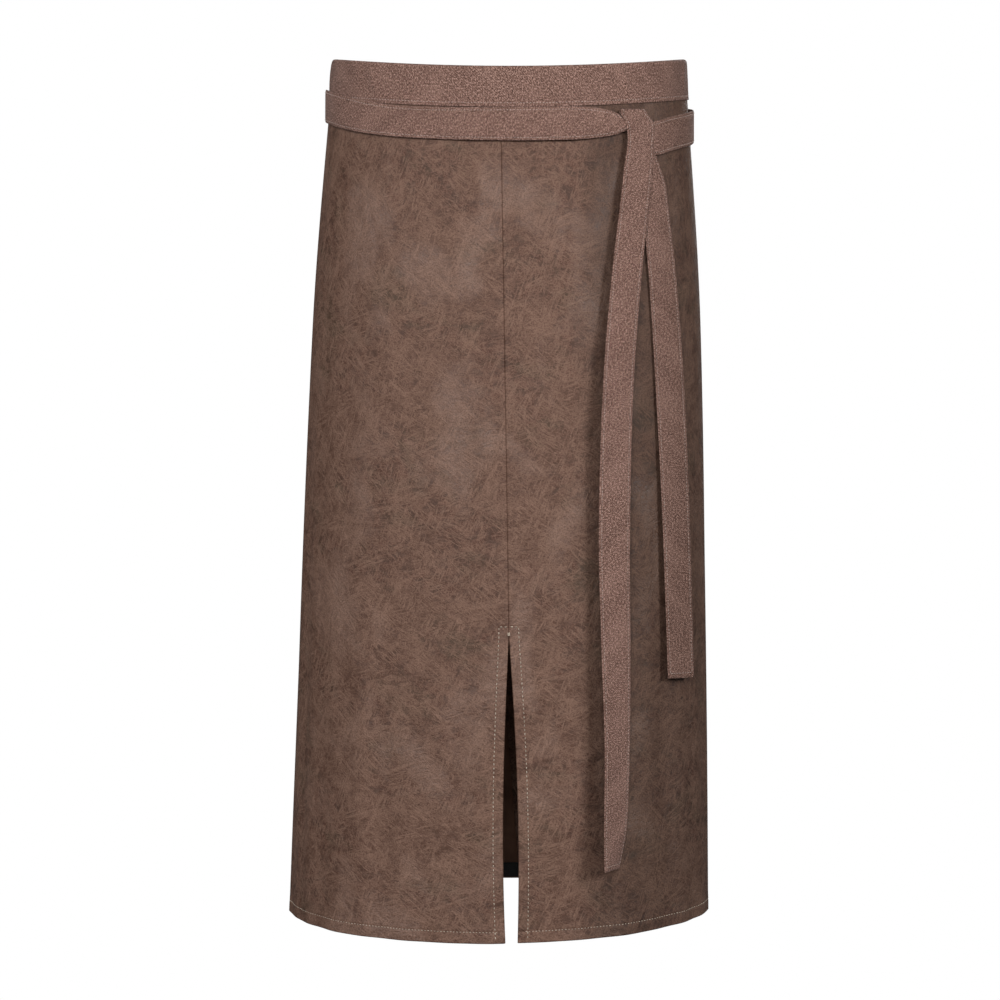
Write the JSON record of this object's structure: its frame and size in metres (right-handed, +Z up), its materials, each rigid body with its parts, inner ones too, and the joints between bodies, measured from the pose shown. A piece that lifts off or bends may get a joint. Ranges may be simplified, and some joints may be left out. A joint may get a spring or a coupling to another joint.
{
  "type": "butcher apron",
  "caption": "Long waist apron of brown distressed leather cloth, with a centre-front seam, a walking slit and a canvas waistband whose ties knot at the front.",
  "frame": {"origin": "centre of the waist opening, level with the top of the waistband at the wearer's sides", "axes": "+Z up, -Y towards the front of the wearer, +X to the right of someone who faces the apron"},
  "size_m": [0.397, 0.2543, 0.8251],
  "materials": {
    "leather_cloth": "satin, distressed and mottled",
    "canvas": "matte twill",
    "thread": "matte",
    "black_tape": "matte",
    "interlining": "matte"
  },
  "bodies": {
    "apron": {"back_edge_stitching_left": "thread", "back_edge_stitching_right": "thread", "centre_seam_stitching": "thread", "hem_stitching_left": "thread", "hem_stitching_right": "thread", "hem_tape_left": "black_tape", "hem_tape_right": "black_tape", "left_tie_end_stitching": "thread", "left_tie_lower_stitching": "thread", "left_tie_turn": "canvas", "left_tie_upper_stitching": "thread", "left_tie_wrap": "canvas", "panel_left": "leather_cloth", "panel_right": "leather_cloth", "right_tie_end_stitching": "thread", "right_tie_loop": "canvas", "right_tie_lower_stitching": "thread", "right_tie_upper_stitching": "thread", "right_tie_wrap": "canvas", "slit_bartack": "thread", "slit_stitching": "thread", "waistband": "canvas", "waistband_end_stitching_left": "thread", "waistband_end_stitching_right": "thread", "waistband_interlining": "interlining", "waistband_stitching": "thread"},
    "right_tail": {"right_tail_inner_stitching": "thread", "right_tail_outer_stitching": "thread", "right_tie_tail": "canvas"},
    "left_tail": {"left_tail_inner_stitching": "thread", "left_tail_outer_stitching": "thread", "left_tie_tail": "canvas"}
  },
  "joints": [
    {"name": "right_tail_swing", "type": "hinge", "parent": "apron", "child": "right_tail", "pos_m": [0.11904, -0.0834, -0.1049], "axis": [-0.8736, -0.476, -0.1007], "range_deg": [0, 75]},
    {"name": "left_tail_swing", "type": "hinge", "parent": "apron", "child": "left_tail", "pos_m": [0.14367, -0.07135, -0.24027], "axis": [-0.7879, -0.6053, -0.113], "range_deg": [0, 75]}
  ]
}
